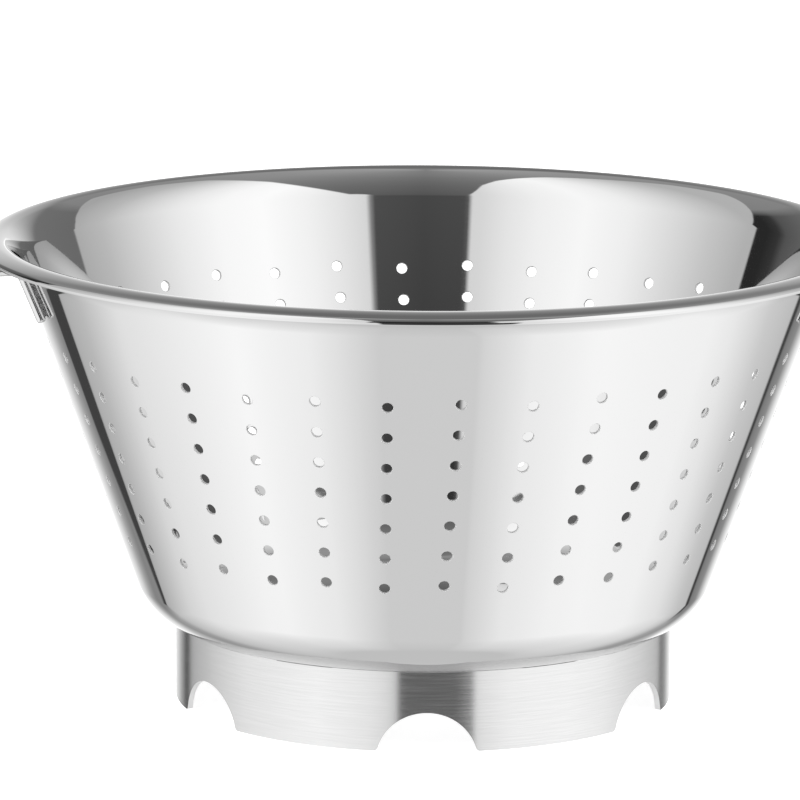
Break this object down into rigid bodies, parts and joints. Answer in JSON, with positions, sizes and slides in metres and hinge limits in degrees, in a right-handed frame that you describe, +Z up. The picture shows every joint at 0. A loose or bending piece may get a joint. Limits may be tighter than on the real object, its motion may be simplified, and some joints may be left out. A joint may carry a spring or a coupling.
{
  "type": "colander",
  "caption": "Round colander of polished steel sheet with a leaning punched wall and turned-down lip, on a notched foot ring, with bent rod loop handles on both sides.",
  "frame": {"origin": "on the table, under the bowl's centre", "axes": "+Z up along the bowl's axis, X through the two handles"},
  "size_m": [0.3792, 0.3048, 0.16],
  "materials": {
    "polished_steel": "polished",
    "brushed_steel": "satin",
    "weld": "satin"
  },
  "bodies": {
    "root": {"bowl": "polished_steel", "foot_ring": "brushed_steel", "foot_ring_welds": "weld", "right_handle": "polished_steel", "left_handle": "polished_steel", "right_handle_welds": "weld", "left_handle_welds": "weld"}
  },
  "joints": []
}
